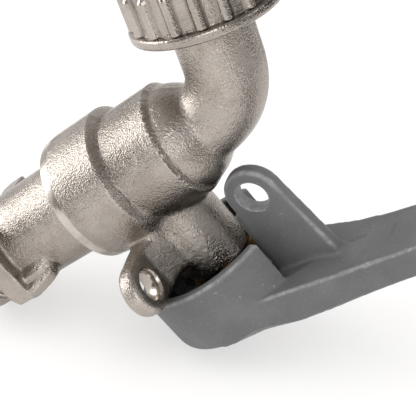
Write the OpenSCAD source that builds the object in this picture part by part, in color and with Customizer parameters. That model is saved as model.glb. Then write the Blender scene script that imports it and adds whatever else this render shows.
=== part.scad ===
// Rain barrel tap: lockable quarter-turn ball tap with a curved spout and a hose union.
// Millimetres. Origin at the shoulder behind the inlet thread, on its axis.
// X is the flow direction, Z is the stem axis towards the handle, Y is to the side of the lock lug.

/* [Inlet end piece] */
// Outside diameter of the inlet pipe thread
inlet_thread_d = 20.96; // [16:0.01:27]
// Length of the inlet thread in front of the hexagon
inlet_thread_len = 13; // [8:0.5:20]
// Hexagon size across flats
hex_af = 26; // [22:0.5:34]
// Hexagon width along the pipe
hex_w = 4.9; // [3:0.1:9]
// Turn of the hexagon about the pipe axis
hex_turn = 33; // [0:1:60]
// Diameter of the plain tube behind the hexagon
tube_d = 20.6; // [16:0.1:24]
// Face where the end piece meets the body casting
joint_x = 25.6; // [20:0.1:36]
// Width of the turned collar on the end piece
collar_w = 2.2; // [1:0.1:4]
// Length of each stiffening fin
fin_len = 9.2; // [4:0.1:12]
// Thickness of each stiffening fin
fin_t = 3.4; // [2:0.1:6]
// Fin edge radius about the pipe axis, next to the hexagon
fin_r = 15.0; // [12:0.1:18]
// Bore of the end piece
inlet_bore_d = 13; // [8:0.5:15]

/* [Body casting] */
// Diameter of the larger barrel of the body
barrel_d = 28; // [24:0.5:36]
// Length of the larger barrel
barrel_len = 11; // [8:0.5:16]
// Diameter of the smaller barrel of the body
barrel2_d = 24.2; // [21:0.1:30]
// Length of the smaller barrel
barrel2_len = 12.4; // [10:0.1:18]
// Length of the sloping step between the barrels
step_len = 0.8; // [0.4:0.1:2]
// Radius of the rounded end of the body
dome_r = 11.3; // [9:0.1:14]
// Diameter of the stem neck
neck_d = 15.5; // [13:0.1:20]
// Height of the neck top above the pipe axis
neck_top = 26.5; // [20:0.1:32]

/* [Lock lug and eye] */
// Radius from the stem axis to the padlock holes
eye_radius = 18; // [14:0.1:24]
// Height of the padlock holes above the pipe axis
eye_z = 16.2; // [12:0.1:20]
// Padlock hole diameter
eye_d = 6.5; // [4:0.1:8]
// Thickness of the body lug
lug_t = 4; // [2.5:0.1:6]
// Rounded end radius of the body lug
lug_r = 5.6; // [5:0.1:8]
// Distance from the stem axis to the near face of the lug
lug_off = 5.1; // [3:0.1:8]
// Thickness of the eye plate on the handle
plate_t = 3.2; // [2:0.1:5]
// Rounded end radius of the eye plate
plate_r = 6; // [5:0.1:8]

/* [Spout] */
// Outside diameter of the spout
spout_d = 15.6; // [13:0.1:20]
// Water way diameter through the body and spout
way_d = 11; // [7:0.5:12]
// Bend radius of the spout centre line
bend_r = 12.6; // [11:0.1:20]
// Forward lean of the outlet from straight down
lean = 19.5; // [0:0.5:40]
// Start of the bend along the pipe
bend_x = 54; // [52:0.5:62]
// Straight length between the bend and the union nut
nut_start = 8.95; // [6:0.05:16]
// Outside diameter of the outlet thread
outlet_thread_d = 20.96; // [18:0.01:27]

/* [Hose union] */
// Rim diameter of the union nut
nut_rim_d = 29.2; // [27:0.1:36]
// Rim width of the union nut
nut_rim_w = 2; // [1:0.1:4]
// Diameter of the union nut between its ribs
nut_d = 26.4; // [25:0.1:34]
// Length of the ribs
rib_len = 7.4; // [4:0.1:12]
// Radius of each rib
rib_r = 1; // [0.6:0.1:1.6]
// Number of grip ribs
rib_count = 18; // [12:1:24]
// Whole length of the union nut
nut_len = 17; // [14:0.5:24]
// Length of the hose tail outside the nut
tail_len = 23; // [14:0.5:40]
// Largest diameter of the hose barbs
barb_d = 14; // [10:0.1:14.6]

/* [Ball and stem] */
// Ball diameter
ball_d = 18; // [16:0.1:19]
// Stem diameter
stem_d = 8; // [6:0.1:9]
// Square on the stem across flats
square_af = 5.6; // [4:0.1:5.8]
// Handle angle from fully open at rest
rest_turn = 12; // [0:1:90]

/* [Handle] */
// Outside diameter of the handle cup
cup_d = 35.8; // [32:0.1:42]
// Wall thickness of the handle cup
cup_wall = 2.6; // [2:0.1:4]
// Height of the cup rim above the pipe axis
rim_z = 22.6; // [20:0.1:26]
// Height of the cup top above the pipe axis
cup_top = 37.3; // [35:0.1:42]
// Lever length from the stem axis
lever_len = 76; // [50:1:110]
// Lever width along the grip
lever_w = 13.8; // [10:0.1:20]
// Half angle of the opening in the cup wall
gap_half = 25; // [10:1:40]

/* [Hidden] */
$fn = 96;
eps = 0.02;
fit = 0.08;
seat_gap = 0.3;
skin = 0.04;
lap = 0.3;
stem_x = joint_x + 12;
barrel_end = joint_x + barrel_len;
barrel2_start = barrel_end + step_len;
barrel2_end = barrel2_start + barrel2_len;
dome_x = barrel2_end - 2.2;
dome_edge_r = dome_r * cos(asin((barrel2_end - dome_x) / dome_r));
thread_r = inlet_thread_d / 2;
hex_r = hex_af / 2 / cos(30);
spigot_r = 11.55;
spigot_end = joint_x + 5.3;
gasket_t = 0.5;
gasket_r = 9.7;
cavity_r = 9.95;
cavity_start = spigot_end + gasket_t;
ball_r = ball_d / 2;
seat_r = 9.2;
seat_bore_r = way_d / 2 + 0.1;
seat_front = 4.8;
seat_back = 8.8;
ring_t = 1.2;
ring_r = 7;
ring_back = seat_back + ring_t;
pocket_r = 5.5;
pocket_z = 12;
washer_t = 0.75;
shoulder_z = pocket_z + 3;
chamber_r = 6;
packing_h = 2.4;
follower_h = 1.2;
packing2_z = shoulder_z + packing_h;
follower_z = packing2_z + packing_h;
gland_z = follower_z + follower_h;
gland_af = 15;
gland_head = 3.5;
stem_r = stem_d / 2;
flange_r = 5.3;
flange_z = ball_r + 0.6;
flange_h = pocket_z - washer_t - fit - flange_z;
tongue_w = 3;
tongue_len = 7.6;
slot_z = ball_r - 2.8;
boss_z = 31;
boss_r = 7;
roof_z = 32.4;
recess_z = 34.2;
recess_r = 6.8;
bolt_r = 3;
lock_t = 1;
lever_nut_af = 10;
lever_nut_h = 3.8;
stem_top = recess_z + lock_t + lever_nut_h + 0.7;
spout_r = spout_d / 2;
way_r = way_d / 2;
bend_end_x = bend_x + bend_r * cos(lean);
bend_end_z = bend_r * (sin(lean) - 1);
outlet_r = outlet_thread_d / 2;
collar_z = nut_start + 0.7;
outlet_face = nut_start + 10;
washer_end = outlet_face + 2;
tail_flange = 2.5;
lip_z = washer_end + tail_flange + 0.12;
nut_end = nut_start + nut_len;
nut_bore_r = outlet_r + fit;
lip_r = 7.7;
tail_r = lip_r - 0.4;
tail_bore_r = 4.6;
barb_r = barb_d / 2;
barb_count = 4;
barb_len = (tail_len - 4) / barb_count;
cup_r = cup_d / 2;
cup_in = cup_r - cup_wall;
edge_r = 3;
tab_in = 7;
tab_out = 12.6;
tab_half = 10;
rib_half = 8;
stop_gap = 1.5;
lug_x = stem_x - lug_off - lug_t;
lug_edge = 1.5;
grip_z = 35;
grip_top = 42;

// Turn a shape built upwards so that it runs along the pipe from the station x.
module along_x(x) {
    translate([x, 0, 0]) rotate([0, 90, 0]) children();
}

// Place a shape in the outlet frame, built along the outlet from the end of the bend.
module at_outlet() {
    translate([bend_end_x, 0, bend_end_z]) rotate([0, 180 - lean, 0]) children();
}

// Place a shape of the turning group, built with the handle along X from the stem axis.
module turned() {
    translate([stem_x, 0, 0]) rotate([0, 0, rest_turn]) children();
}

// Pipe piece along Z.
module ring(r_out, r_in, h) {
    difference() {
        cylinder(r = r_out, h = h);
        translate([0, 0, -eps]) cylinder(r = r_in, h = h + 2 * eps);
    }
}

// Solid of the spout centre line with the radius r, the straight run a hair wider than the bend.
module spout_path(r) {
    along_x(dome_x) cylinder(r = r + skin, h = bend_x - dome_x + lap);
    translate([bend_x, 0, -bend_r]) rotate([90, 0, 0]) rotate([0, 0, lean])
        rotate_extrude(angle = 90 - lean) translate([bend_r, 0]) circle(r = r);
}

// Half outline of a disc with rounded edges, for turning.
module disc_outline(r, t, e) {
    square([r - e, t]);
    translate([0, e]) square([r, t - 2 * e]);
    translate([r - e, e]) circle(r = e);
    translate([r - e, t - e]) circle(r = e);
}

// Half outline of the two barrels and the rounded end, for turning about the pipe axis.
module barrel_outline() {
    polygon([[0, joint_x], [barrel_d / 2, joint_x], [barrel_d / 2, barrel_end], [barrel2_d / 2, barrel2_start],
             [barrel2_d / 2, barrel2_end - 0.7], [dome_edge_r, barrel2_end], [0, barrel2_end]]);
    intersection() {
        translate([0, dome_x]) circle(r = dome_r);
        translate([0, dome_x]) square(dome_r);
    }
}

// Lug cast on the neck for one leg of a padlock.
module lock_lug() {
    difference() {
        union() {
            translate([lug_x, eye_radius, eye_z]) rotate([0, 90, 0]) rotate_extrude()
                intersection() {
                    disc_outline(lug_r, lug_t, lug_edge);
                    square([lug_r, lug_t]);
                }
            translate([lug_x, eye_radius, eye_z]) rotate([90, 0, 0])
                linear_extrude(height = eye_radius - 3) lug_section();
        }
        along_x(lug_x - 1) translate([-eye_z, eye_radius, 0]) cylinder(d = eye_d, h = lug_t + 2);
    }
}

// Section of the lug across its length, with rounded corners.
module lug_section() {
    translate([0, -lug_r + lug_edge]) square([lug_t, 2 * (lug_r - lug_edge)]);
    translate([lug_edge, -lug_r]) square([lug_t - 2 * lug_edge, 2 * lug_r]);
    for (x = [lug_edge, lug_t - lug_edge]) for (z = [lug_edge - lug_r, lug_r - lug_edge])
        translate([x, z]) circle(r = lug_edge);
}

// Sector of a ring about the stem axis, centred on the angle a.
module sector(a, half, r_in, r_out, h) {
    rotate([0, 0, a - half]) rotate_extrude(angle = 2 * half)
        translate([r_in, 0]) square([r_out - r_in, h]);
}

// Body: barrel, rounded end, spout, outlet thread, neck, lock lug and travel stop.
module body_casting() {
    color("silver") difference() {
        union() {
            along_x(0) rotate_extrude() barrel_outline();
            spout_path(spout_r);
            at_outlet() {
                translate([0, 0, -lap]) cylinder(r = spout_r + skin, h = collar_z + lap);
                translate([0, 0, collar_z - 1.2]) cylinder(r1 = spout_r, r2 = outlet_r - 1, h = 1.2);
                translate([0, 0, collar_z]) cylinder(r1 = outlet_r - 1, r2 = outlet_r, h = 1);
                translate([0, 0, collar_z + 1]) cylinder(r = outlet_r, h = outlet_face - collar_z - 1);
            }
            translate([stem_x, 0, 0]) cylinder(d = neck_d, h = neck_top);
            translate([stem_x, 0, neck_top - 3.4]) sector(180, tab_half, tab_in, tab_out, 3);
            lock_lug();
        }
        // socket for the end piece, then the ball chamber
        along_x(joint_x - 1) cylinder(r = spigot_r + 0.05, h = cavity_start - joint_x + 1);
        along_x(cavity_start - eps) cylinder(r = cavity_r, h = stem_x + seat_front - cavity_start + eps);
        along_x(stem_x + seat_front - eps) cylinder(r = seat_r + 0.05, h = ring_back - seat_front + eps);
        along_x(stem_x + seat_front) cylinder(r = way_r + skin, h = dome_x - stem_x - seat_front + 1);
        spout_path(way_r);
        at_outlet() translate([0, 0, -lap]) cylinder(r = way_r + skin, h = outlet_face + 1);
        // stem pocket, stem hole and packing chamber
        translate([stem_x, 0, 0]) {
            translate([0, 0, cavity_r - 2]) cylinder(r = pocket_r, h = pocket_z - cavity_r + 2);
            translate([0, 0, pocket_z - 1]) cylinder(r = stem_r + fit, h = neck_top);
            translate([0, 0, shoulder_z]) cylinder(r = chamber_r, h = neck_top);
        }
    }
}

// Stiffening fin between the hexagon and the tube, in the plane of the turned hexagon corner.
module fin() {
    translate([0, fin_t / 2, 0]) rotate([90, 0, 0]) linear_extrude(height = fin_t)
        polygon([[hex_w - 1, tube_d / 2 - 2], [hex_w - 1, fin_r], [hex_w + 1, fin_r], [hex_w + fin_len - 2.4, fin_r - 1],
                 [hex_w + fin_len - 1, fin_r - 1.6], [hex_w + fin_len - 0.3, fin_r - 2.6],
                 [hex_w + fin_len, tube_d / 2 - 2]]);
}

// Screwed end piece with the inlet thread, hexagon, two fins and the turned collar.
module inlet_end() {
    color("silver") difference() {
        union() {
            along_x(-inlet_thread_len) cylinder(r1 = thread_r - 1, r2 = thread_r, h = 1 + eps);
            along_x(1 - inlet_thread_len) cylinder(r = thread_r, h = inlet_thread_len);
            intersection() {
                rotate([hex_turn, 0, 0]) rotate([0, 90, 0]) rotate([0, 0, 90]) cylinder(r = hex_r, h = hex_w, $fn = 6);
                union() {
                    along_x(0) cylinder(r1 = hex_r - 1.2, r2 = hex_r, h = 1.2 + eps);
                    along_x(1.2) cylinder(r = hex_r, h = hex_w);
                }
            }
            along_x(0) cylinder(d = tube_d, h = joint_x - 1);
            for (a = [0, 180]) rotate([a + hex_turn - 90, 0, 0]) fin();
            along_x(joint_x - collar_w) cylinder(d = barrel_d - 0.4, h = collar_w);
            along_x(joint_x - 1) cylinder(r = spigot_r, h = spigot_end - joint_x + 1);
        }
        along_x(-inlet_thread_len - 1) cylinder(d = inlet_bore_d, h = spigot_end + inlet_thread_len + 2);
        along_x(stem_x - ring_back) cylinder(r = seat_r + 0.05, h = ring_back);
    }
}

// Flat ring that seals the end piece in the body.
module end_gasket() {
    color("white") along_x(spigot_end) ring(spigot_r - 0.05, gasket_r + 0.3, gasket_t);
}

// Ball with its water way and the slot for the stem.
module ball() {
    color("gainsboro") turned() difference() {
        sphere(r = ball_r);
        translate([-ball_r - 1, 0, 0]) rotate([0, 90, 0]) cylinder(r = way_r, h = ball_d + 2);
        translate([-tongue_w / 2 - 0.05, -ball_r, slot_z]) cube([tongue_w + 0.1, ball_d, ball_r]);
    }
}

// Seat ring on the outlet side of the ball, hollowed to the ball.
module seat() {
    difference() {
        translate([0, 0, seat_front]) ring(seat_r, seat_bore_r, seat_back - seat_front);
        sphere(r = ball_r + seat_gap);
    }
}

// Seat on the outlet side.
module outlet_seat() {
    color("white") along_x(stem_x) seat();
}

// Seat on the inlet side.
module inlet_seat() {
    color("white") translate([stem_x, 0, 0]) rotate([0, -90, 0]) seat();
}

// Rubber ring behind the outlet seat.
module outlet_seat_ring() {
    color("dimgray") along_x(stem_x + seat_back) ring(seat_r, ring_r, ring_t);
}

// Rubber ring behind the inlet seat.
module inlet_seat_ring() {
    color("dimgray") along_x(stem_x - ring_back) ring(seat_r, ring_r, ring_t);
}

// Stem with its driving tongue, flange, square and screw thread.
module stem() {
    color("goldenrod") turned() {
        translate([-tongue_w / 2, -tongue_len / 2, slot_z + 0.1]) cube([tongue_w, tongue_len, flange_z - slot_z]);
        translate([0, 0, flange_z]) cylinder(r = flange_r, h = flange_h);
        translate([0, 0, flange_z]) cylinder(r = stem_r, h = boss_z - flange_z);
        translate([-square_af / 2, -square_af / 2, boss_z - eps]) cube([square_af, square_af, recess_z - boss_z]);
        translate([0, 0, boss_z]) cylinder(r = bolt_r - 0.3, h = stem_top - boss_z - 0.6);
        translate([0, 0, recess_z]) cylinder(r = bolt_r - 0.02, h = stem_top - recess_z - 0.6);
        translate([0, 0, stem_top - 0.6]) cylinder(r1 = bolt_r - 0.02, r2 = bolt_r - 0.6, h = 0.6);
    }
}

// Thrust washer between the stem flange and the neck.
module thrust_washer() {
    color("white") translate([stem_x, 0, pocket_z - washer_t]) ring(pocket_r - 0.1, stem_r + fit, washer_t);
}

// One packing ring.
module packing(z) {
    color("white") translate([stem_x, 0, z]) ring(chamber_r, stem_r + fit, packing_h);
}

// Lower packing ring.
module packing_lower() {
    packing(shoulder_z);
}

// Upper packing ring.
module packing_upper() {
    packing(packing2_z);
}

// Brass ring that presses the packing.
module gland_follower() {
    color("goldenrod") translate([stem_x, 0, follower_z]) ring(chamber_r - 0.05, stem_r + fit, follower_h);
}

// Gland nut screwed into the neck.
module gland_nut() {
    color("goldenrod") translate([stem_x, 0, 0]) difference() {
        union() {
            translate([0, 0, gland_z]) cylinder(r = chamber_r - 0.02, h = neck_top - gland_z + eps);
            translate([0, 0, neck_top]) intersection() {
                cylinder(r = gland_af / 2 / cos(30), h = gland_head, $fn = 6);
                cylinder(r1 = gland_af / 2 + 2.2, r2 = gland_af / 2 + 0.3, h = gland_head);
            }
        }
        translate([0, 0, gland_z - 1]) cylinder(r = stem_r + fit, h = 20);
    }
}

// Half outline of the handle cup, with its rounded top edge.
module cup_outline() {
    translate([cup_in, rim_z]) square([cup_wall, roof_z - rim_z + eps]);
    translate([0, roof_z]) square([cup_r, cup_top - edge_r - roof_z]);
    translate([0, roof_z]) square([cup_r - edge_r, cup_top - roof_z]);
    translate([cup_r - edge_r, cup_top - edge_r]) intersection() {
        circle(r = edge_r);
        square([edge_r, edge_r]);
    }
}

// Lever arm: a plan outline met by a side outline.
module arm() {
    grip = lever_w / 2;
    intersection() {
        translate([0, 0, roof_z - 4]) linear_extrude(height = 20) {
            polygon([[0, -cup_r + 1], [6, -16.6], [10, -14.9], [15, -12.6], [20, -10.2], [26, -8.2], [34, -grip - 0.3],
                     [44, -grip], [lever_len - grip, -grip], [lever_len - grip, grip], [44, grip], [34, grip + 0.3],
                     [26, 8.2], [20, 10.2], [15, 12.6], [10, 14.9], [6, 16.6], [0, cup_r - 1]]);
            translate([lever_len - grip, 0]) circle(r = grip);
        }
        translate([0, 30, 0]) rotate([90, 0, 0]) linear_extrude(height = 60)
            polygon([[0, roof_z], [8, 30.5], [10, 30.6], [16, 32.3], [25, grip_z - 0.3], [44, grip_z], [lever_len + 1, grip_z + 1.5],
                     [lever_len + 1, grip_top + 0.6], [44, grip_top], [27, grip_top], [18, 40.2], [5, 38.1], [0, cup_top]]);
    }
}

// Eye plate under the lever for the other leg of the padlock.
module eye_plate() {
    translate([0, plate_t / 2, 0]) rotate([90, 0, 0]) linear_extrude(height = plate_t) difference() {
        union() {
            translate([eye_radius, eye_z]) circle(r = plate_r);
            polygon([[eye_radius - plate_r, eye_z], [11.4, 26], [11.4, grip_z], [eye_radius + plate_r + 2.2, grip_z],
                     [eye_radius + plate_r, eye_z]]);
        }
        translate([eye_radius, eye_z]) circle(d = eye_d);
    }
    translate([10.6, -plate_t / 2 + 0.5, eye_z + 2.6]) cube([3, plate_t - 1, roof_z - eye_z]);
}

// Cast handle: cup over the gland, stop ribs, lever arm and eye plate.
module lever() {
    color("gray") turned() difference() {
        union() {
            difference() {
                rotate_extrude() cup_outline();
                translate([0, 0, rim_z - 1]) sector(0, gap_half, cup_in - 1, cup_r + 1, roof_z - rim_z - 1);
            }
            difference() {
                arm();
                translate([0, 0, rim_z]) cylinder(r = cup_in + 0.1, h = roof_z - rim_z);
            }
            translate([0, 0, boss_z]) cylinder(r = boss_r, h = roof_z - boss_z + eps);
            translate([0, 0, rim_z + 0.4]) {
                sector(180 + tab_half + rib_half + stop_gap, rib_half, tab_out - 2, cup_in + eps, roof_z - rim_z);
                sector(90 - tab_half - rib_half - stop_gap, rib_half, tab_out - 2, cup_in + eps, roof_z - rim_z);
            }
            eye_plate();
        }
        translate([-square_af / 2 - 0.05, -square_af / 2 - 0.05, boss_z - 1]) cube([square_af + 0.1, square_af + 0.1, 8]);
        translate([0, 0, recess_z]) cylinder(r = recess_r, h = 12);
    }
}

// Spring washer under the handle nut.
module lock_washer() {
    color("silver") turned() translate([0, 0, recess_z]) difference() {
        ring(5.4, bolt_r + 0.1, lock_t);
        translate([3, -0.3, -1]) cube([4, 0.6, 3]);
    }
}

// Hexagon nut that holds the handle.
module lever_nut() {
    color("silver") turned() translate([0, 0, recess_z + lock_t]) difference() {
        intersection() {
            cylinder(r = lever_nut_af / 2 / cos(30), h = lever_nut_h, $fn = 6);
            cylinder(r1 = lever_nut_af / 2 + 2.6, r2 = lever_nut_af / 2 + 0.2, h = lever_nut_h);
        }
        translate([0, 0, -1]) cylinder(r = bolt_r, h = lever_nut_h + 2);
    }
}

// Union nut with a rim, grip ribs and a plain collar.
module union_nut() {
    color("silver") at_outlet() difference() {
        union() {
            translate([0, 0, nut_start]) cylinder(d1 = nut_rim_d - 0.8, d2 = nut_rim_d, h = 0.4 + eps);
            translate([0, 0, nut_start + 0.4]) cylinder(d = nut_rim_d, h = nut_rim_w - 0.4);
            translate([0, 0, nut_start + nut_rim_w - eps]) cylinder(d = nut_d, h = nut_len - nut_rim_w - 1 + eps);
            translate([0, 0, nut_end - 1]) cylinder(d1 = nut_d, d2 = nut_d - 2, h = 1);
            for (i = [0 : rib_count - 1]) rotate([0, 0, i * 360 / rib_count]) translate([nut_d / 2 - 0.3, 0, nut_start + nut_rim_w - eps]) {
                cylinder(r = rib_r, h = rib_len - rib_r);
                translate([0, 0, rib_len - rib_r]) sphere(r = rib_r);
            }
        }
        translate([0, 0, nut_start - 1]) cylinder(r = nut_bore_r, h = lip_z - nut_start + 1);
        translate([0, 0, lip_z - 1]) cylinder(r = lip_r, h = nut_len);
    }
}

// Flat rubber washer between the outlet and the hose tail.
module outlet_washer() {
    color("black") at_outlet() translate([0, 0, outlet_face]) ring(outlet_r - 0.6, way_r + 0.8, washer_end - outlet_face);
}

// Barbed hose tail held by the union nut.
module hose_tail() {
    color("silver") at_outlet() difference() {
        union() {
            translate([0, 0, washer_end]) cylinder(r = outlet_r - 0.5, h = tail_flange);
            translate([0, 0, washer_end]) cylinder(r = tail_r, h = nut_end + 2 - washer_end);
            translate([0, 0, nut_end]) cylinder(r = barb_r - 0.9, h = tail_len);
            for (i = [0 : barb_count - 1]) translate([0, 0, nut_end + 3 + i * barb_len])
                cylinder(r1 = barb_r, r2 = barb_r - 1.1, h = barb_len + eps);
        }
        translate([0, 0, washer_end - 1]) cylinder(r = tail_bore_r, h = nut_end + tail_len);
    }
}

body_casting();
inlet_end();
end_gasket();
ball();
inlet_seat();
outlet_seat();
inlet_seat_ring();
outlet_seat_ring();
stem();
thrust_washer();
packing_lower();
packing_upper();
gland_follower();
gland_nut();
lever();
lock_washer();
lever_nut();
union_nut();
outlet_washer();
hose_tail();
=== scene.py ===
"""Looks of the rain barrel tap: cast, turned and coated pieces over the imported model, with its studio."""
import logging
import math
from dataclasses import dataclass
from enum import Enum
from typing import Callable, Dict, List, Optional, Sequence, Tuple, Union

import bmesh
import bpy
import numpy as np
from mathutils import Matrix, Vector


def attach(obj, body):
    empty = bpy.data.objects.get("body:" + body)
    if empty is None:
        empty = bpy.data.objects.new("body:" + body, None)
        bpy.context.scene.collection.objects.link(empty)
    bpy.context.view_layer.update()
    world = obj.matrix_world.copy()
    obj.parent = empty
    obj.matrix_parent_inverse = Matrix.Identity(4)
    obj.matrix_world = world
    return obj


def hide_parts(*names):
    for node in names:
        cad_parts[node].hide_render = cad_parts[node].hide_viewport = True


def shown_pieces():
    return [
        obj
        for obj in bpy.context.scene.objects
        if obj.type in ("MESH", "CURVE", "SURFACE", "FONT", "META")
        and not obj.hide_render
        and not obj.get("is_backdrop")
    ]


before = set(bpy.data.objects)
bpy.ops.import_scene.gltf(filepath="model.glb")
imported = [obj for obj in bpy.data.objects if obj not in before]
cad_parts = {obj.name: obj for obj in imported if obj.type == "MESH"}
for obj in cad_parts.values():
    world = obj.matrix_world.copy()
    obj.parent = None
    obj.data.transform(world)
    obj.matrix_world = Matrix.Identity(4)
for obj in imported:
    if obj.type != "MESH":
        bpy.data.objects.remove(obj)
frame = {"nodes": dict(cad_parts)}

LOG = logging.getLogger("rain_barrel_tap")
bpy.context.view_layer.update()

MM = 0.001
METRE = 1000.0
TURN = 2 * math.pi

Colour = Tuple[float, float, float]
Outline = List[Tuple[float, float]]
Corners = Sequence[Tuple[float, ...]]
Inputs = Dict[Union[int, str], object]


def turn_about(axis: str, degrees: float = 90.0) -> Matrix:
    """A turn about an axis of the frame, a quarter turn unless told otherwise."""
    return Matrix.Rotation(math.radians(degrees), 4, axis)


class Lay(Enum):
    """Where a shape that is built upwards along Z is laid."""

    PIPE = "pipe"
    STEM = "stem"
    OUTLET = "outlet"
    HANDLE = "handle"


@dataclass(frozen=True)
class TapSizes:
    """The sizes that several pieces of the tap share, in millimetres."""

    joint_x: float = 25.6
    barrel_r: float = 14.0
    barrel_end: float = 36.3
    barrel2_r: float = 12.1
    barrel2_start: float = 37.7
    barrel2_end: float = 49.8
    dome_r: float = 11.3
    dome_x: float = 47.6
    spout_r: float = 7.8
    way_r: float = 5.5
    bend_x: float = 54.0
    bend_r: float = 12.6
    lean: float = 19.5
    stem_x: float = 37.6
    neck_r: float = 7.75
    neck_top: float = 26.5
    rest_turn: float = 12.0
    outlet_r: float = 10.48
    nut_start: float = 8.95
    outlet_face: float = 18.95
    eye_reach: float = 18.0
    eye_z: float = 16.2
    eye_r: float = 3.25

    @property
    def bend_end(self) -> Vector:
        """Centre of the spout where its bend ends."""
        lean = math.radians(self.lean)
        return Vector((self.bend_x + self.bend_r * math.cos(lean), 0, self.bend_r * (math.sin(lean) - 1)))

    def lay(self, way: Lay, start: float = 0.0) -> Matrix:
        """Matrix that lays a shape built upwards along Z.

        Args:
            way: the axis that the shape is laid on.
            start: how far along that axis it begins, in millimetres.

        Returns:
            The matrix in the part's frame, in millimetres.
        """
        rise = Matrix.Translation((0, 0, start))
        if way is Lay.PIPE:
            return turn_about("Y") @ rise
        if way is Lay.STEM:
            return Matrix.Translation((self.stem_x, 0, 0)) @ rise
        if way is Lay.OUTLET:
            lean = Matrix.Rotation(math.pi - math.radians(self.lean), 4, "Y")
            return Matrix.Translation(self.bend_end) @ lean @ rise
        return Matrix.Translation((self.stem_x, 0, 0)) @ turn_about("Z", self.rest_turn) @ rise


SIZES = TapSizes()


# Shapes


class Form:
    """A solid in millimetres that is shaped with mesh operators."""

    def __init__(self) -> None:
        """Starts with nothing."""
        self.bm = bmesh.new()

    def place(self, matrix: Matrix) -> "Form":
        """Moves the whole form by a matrix."""
        bmesh.ops.transform(self.bm, matrix=matrix, verts=self.bm.verts)
        return self

    def tidy(self) -> "Form":
        """Welds the seams and points the faces outwards.

        Returns:
            The form itself.
        """
        bmesh.ops.remove_doubles(self.bm, verts=self.bm.verts, dist=1e-4)
        bmesh.ops.recalc_face_normals(self.bm, faces=self.bm.faces)
        return self

    def add(self, other: "Form") -> None:
        """Takes the faces of another form in.

        Args:
            other: that form, which is used up.
        """
        spare = bpy.data.meshes.new("spare")
        other.bm.to_mesh(spare)
        self.bm.from_mesh(spare)
        bpy.data.meshes.remove(spare)
        other.bm.free()

    def piece(self, name: str, scale: float = MM) -> bpy.types.Object:
        """Makes the form an object.

        Args:
            name: the object's name.
            scale: what a millimetre of the form becomes.

        Returns:
            The new object, in the scene, with smooth faces.
        """
        mesh = bpy.data.meshes.new(name)
        self.bm.to_mesh(mesh)
        self.bm.free()
        mesh.transform(Matrix.Scale(scale, 4))
        mesh.shade_smooth()
        made = bpy.data.objects.new(name, mesh)
        bpy.context.scene.collection.objects.link(made)
        return made


def turned(outline: Outline, matrix: Matrix, steps: int = 128) -> Form:
    """Turns a closed outline about the Z axis.

    Args:
        outline: points of (height, radius), in order round the section.
        matrix: where the turned shape goes.
        steps: how many flats the circle has.

    Returns:
        A closed form.
    """
    form = Form()
    verts = [form.bm.verts.new((radius, 0, height)) for height, radius in outline]
    edges = [form.bm.edges.new((one, two)) for one, two in zip(verts, verts[1:] + verts[:1])]
    bmesh.ops.spin(form.bm, geom=verts + edges, cent=(0, 0, 0), axis=(0, 0, 1), dvec=(0, 0, 0), angle=TURN,
                   steps=steps, use_merge=True, use_normal_flip=False, use_duplicate=False)
    bmesh.ops.dissolve_degenerate(form.bm, dist=1e-5, edges=form.bm.edges)
    return form.tidy().place(matrix)


def rounded(outline: Corners, steps: int = 5) -> Outline:
    """Rounds the corners of a section.

    Args:
        outline: corners of (height, radius) or (height, radius, rounding).
        steps: how many points an arc takes.

    Returns:
        The section's points, with each rounded corner an arc.
    """
    made: Outline = []
    for index, corner in enumerate(outline):
        here = Vector(corner[:2])
        if len(corner) < 3 or corner[2] <= 0:
            made.append((here.x, here.y))
            continue
        before = Vector(outline[index - 1][:2]) - here
        after = Vector(outline[(index + 1) % len(outline)][:2]) - here
        half = before.angle(after) / 2
        back = min(corner[2] / math.tan(half), before.length * 0.49, after.length * 0.49)
        start = here + before.normalized() * back
        end = here + after.normalized() * back
        for step in range(steps + 1):
            share = step / steps
            point = start * (1 - share) ** 2 + here * 2 * share * (1 - share) + end * share ** 2
            made.append((point.x, point.y))
    return made


def stepped(bores: Corners, end: float) -> Outline:
    """The section of a hole whose radius changes in steps.

    Args:
        bores: where each step starts, and its radius.
        end: where the last step ends.

    Returns:
        Points of (height, radius), closed along the axis.
    """
    starts = [start for start, _ in bores] + [end]
    made: Outline = [(starts[0], 0.0)]
    for (start, radius), stop in zip(bores, starts[1:]):
        made += [(start, radius), (stop, radius)]
    return made + [(end, 0.0)]


def smooth_line(points: Outline, steps: int = 4) -> Outline:
    """A curve through points.

    Args:
        points: what the curve passes through.
        steps: how many parts each gap is split into.

    Returns:
        The points of the curve, ends included.
    """
    spots = [Vector(point) for point in points]
    spots = [spots[0] * 2 - spots[1]] + spots + [spots[-1] * 2 - spots[-2]]
    made = []
    for one, two, three, four in zip(spots, spots[1:], spots[2:], spots[3:]):
        for step in range(steps):
            share = step / steps
            bend = (two * 2 + (three - one) * share + (one * 2 - two * 5 + three * 4 - four) * share ** 2
                    + (two * 3 - one - three * 3 + four) * share ** 3) / 2
            made.append((bend.x, bend.y))
    made.append(tuple(points[-1]))
    return made


def rod(radius: float, low: float, high: float, matrix: Matrix, steps: int = 96) -> Form:
    """A plain closed rod.

    Args:
        radius: its radius.
        low: height of its lower end.
        high: height of its upper end.
        matrix: where it goes.
        steps: how many flats make it round.

    Returns:
        A closed form.
    """
    form = Form()
    bmesh.ops.create_cone(form.bm, cap_ends=True, segments=steps, radius1=radius, radius2=radius,
                          depth=high - low)
    return form.place(matrix @ Matrix.Translation((0, 0, (low + high) / 2)))


def of_kind(made: Dict[str, list], kind: type) -> list:
    """The points or edges among what an operator made."""
    return [item for item in made["geom"] if isinstance(item, kind)]


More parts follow.
